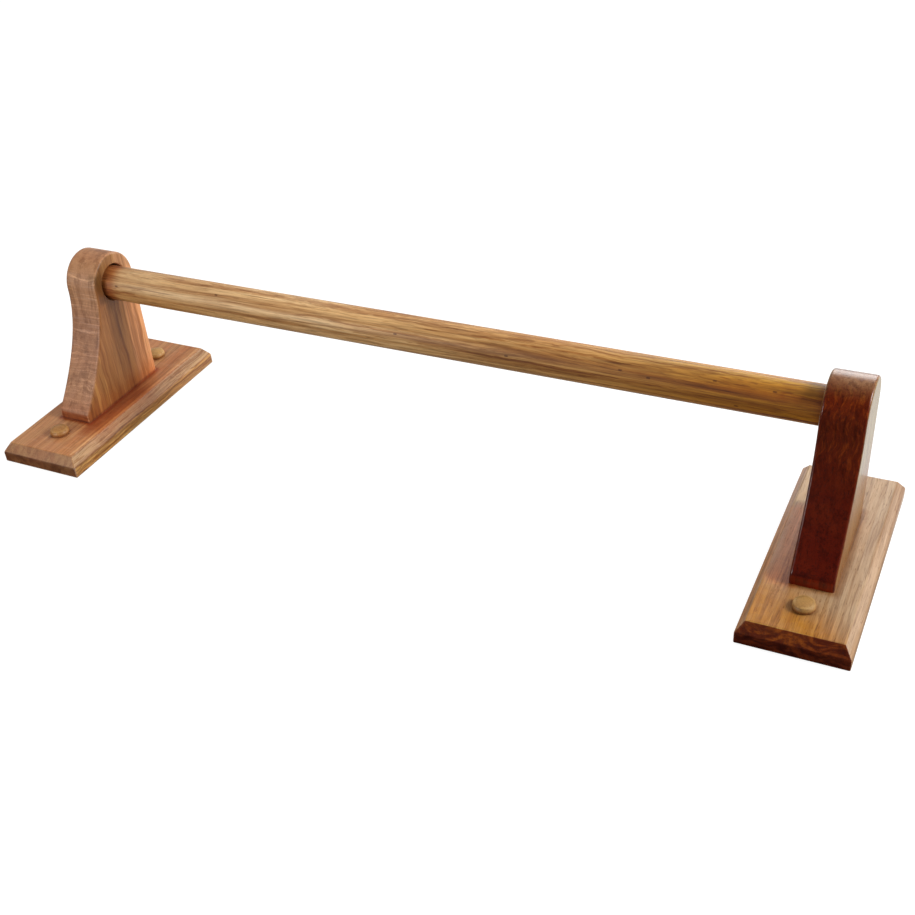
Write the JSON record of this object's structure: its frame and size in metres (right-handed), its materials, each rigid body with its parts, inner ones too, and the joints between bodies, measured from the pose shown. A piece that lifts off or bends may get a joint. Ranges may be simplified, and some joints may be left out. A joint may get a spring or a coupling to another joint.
{
  "type": "towel bar",
  "caption": "Wooden towel bar: a round rail lying loosely in blind sockets between flared bracket arms on bevelled wall plates.",
  "frame": {"origin": "on the wall face of the plates, midway between the two brackets and midway along the plates", "axes": "+X along the rail to the right bracket, +Y up on the wall, +Z out of the wall"},
  "size_m": [0.617, 0.175, 0.125],
  "materials": {
    "rail_oak": "golden oak with long brown and olive streaks, satin varnish",
    "left_arm_oak": "pinkish oak with pale ray flecks, satin varnish",
    "right_arm_oak": "red-brown oak, satin varnish",
    "left_plate_oak": "reddish oak, grain along the plate, satin varnish",
    "right_plate_oak": "light oak, grain along the plate, dark end grain, satin varnish",
    "button_wood": "pale close-grained turned wood, satin varnish",
    "zinc_steel": "bright zinc plate"
  },
  "bodies": {
    "left_bracket": {"left_wall_plate": "left_plate_oak", "left_arm": "left_arm_oak", "left_lower_arm_screw": "zinc_steel", "left_upper_arm_screw": "zinc_steel"},
    "right_bracket": {"right_wall_plate": "right_plate_oak", "right_arm": "right_arm_oak", "right_lower_arm_screw": "zinc_steel", "right_upper_arm_screw": "zinc_steel"},
    "rail": {"rail": "rail_oak"},
    "left_lower_button": {"left_lower_cover_button": "button_wood"},
    "left_upper_button": {"left_upper_cover_button": "button_wood"},
    "right_lower_button": {"right_lower_cover_button": "button_wood"},
    "right_upper_button": {"right_upper_cover_button": "button_wood"}
  },
  "joints": [
    {"name": "rail_turn", "type": "hinge", "parent": "left_bracket", "child": "rail", "pos_m": [0, 0.02, 0.1023], "axis": [1, 0, 0], "continuous": true},
    {"name": "right_bracket_pull", "type": "slide", "parent": "left_bracket", "child": "right_bracket", "axis": [1, 0, 0], "range_m": [0, 0.02]},
    {"name": "left_lower_button_pull", "type": "slide", "parent": "left_bracket", "child": "left_lower_button", "axis": [0, 0, 1], "range_m": [0, 0.012]},
    {"name": "left_upper_button_pull", "type": "slide", "parent": "left_bracket", "child": "left_upper_button", "axis": [0, 0, 1], "range_m": [0, 0.012]},
    {"name": "right_lower_button_pull", "type": "slide", "parent": "right_bracket", "child": "right_lower_button", "axis": [0, 0, 1], "range_m": [0, 0.012]},
    {"name": "right_upper_button_pull", "type": "slide", "parent": "right_bracket", "child": "right_upper_button", "axis": [0, 0, 1], "range_m": [0, 0.012]}
  ]
}
